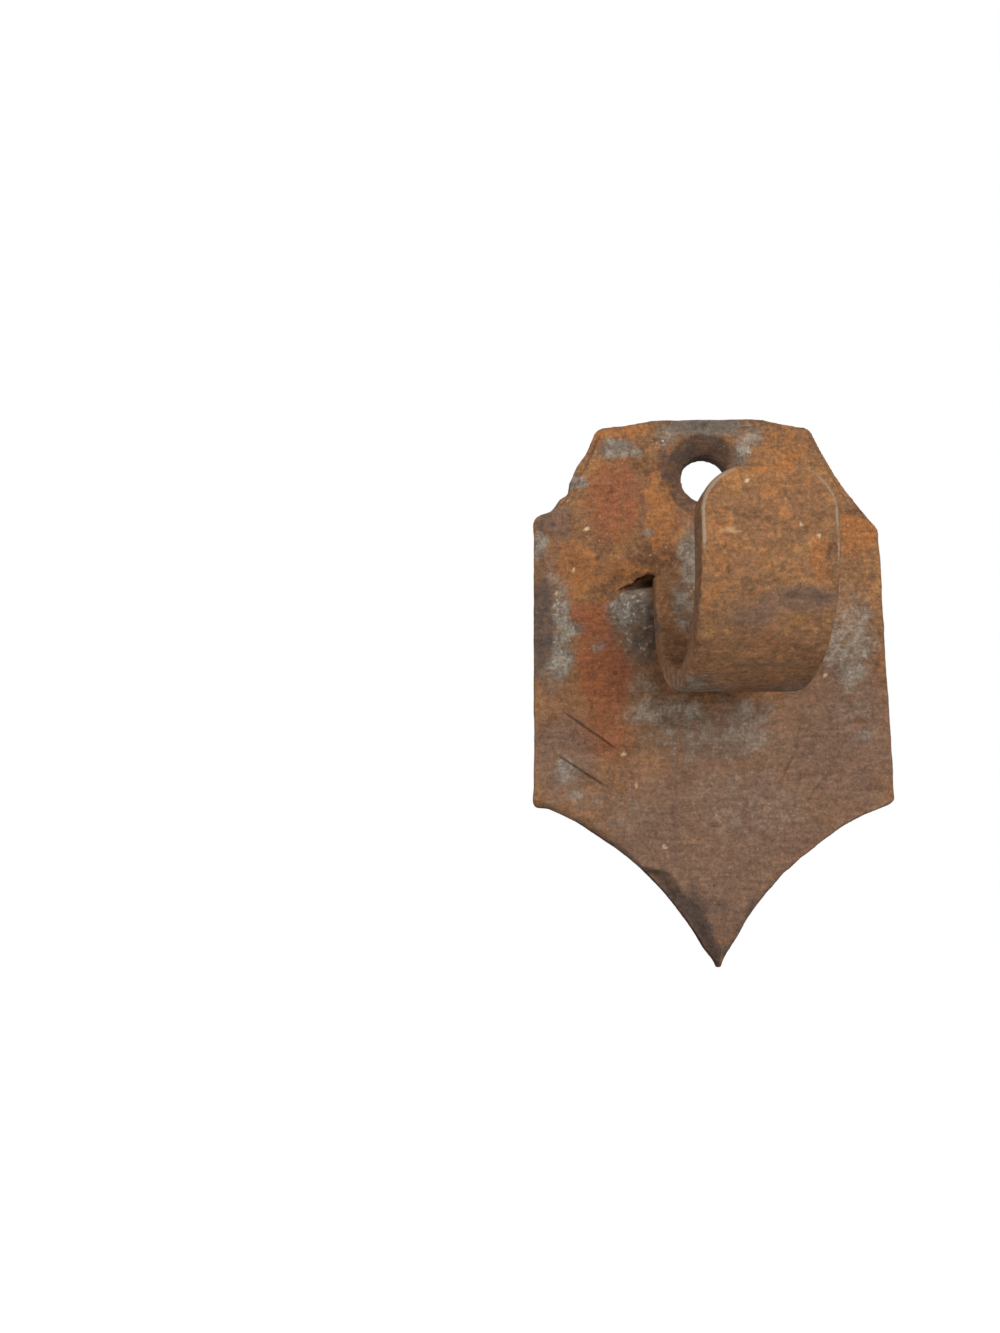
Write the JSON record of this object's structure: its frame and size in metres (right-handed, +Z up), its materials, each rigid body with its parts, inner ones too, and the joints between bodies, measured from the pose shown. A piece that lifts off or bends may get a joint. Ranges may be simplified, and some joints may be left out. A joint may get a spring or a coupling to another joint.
{
  "type": "shutter dog holdback",
  "caption": "Hand-forged iron shutter holdback: shield-shaped wall plate with a tapered screw hole and an upturned flat-bar hook.",
  "frame": {"origin": "axis of the screw hole at the plate's back face, on the wall plane", "axes": "+Z up, +Y into the wall, front faces -Y, +X to the right seen from the front"},
  "size_m": [0.0716, 0.048, 0.1113],
  "materials": {
    "plate_iron": "hand-forged wrought iron, heavily rusted, with grey scale patches",
    "hook_iron": "hand-forged wrought iron, orange-brown rust with worn edges"
  },
  "bodies": {
    "root": {"shield_plate": "plate_iron", "hook_bar": "hook_iron"}
  },
  "joints": []
}
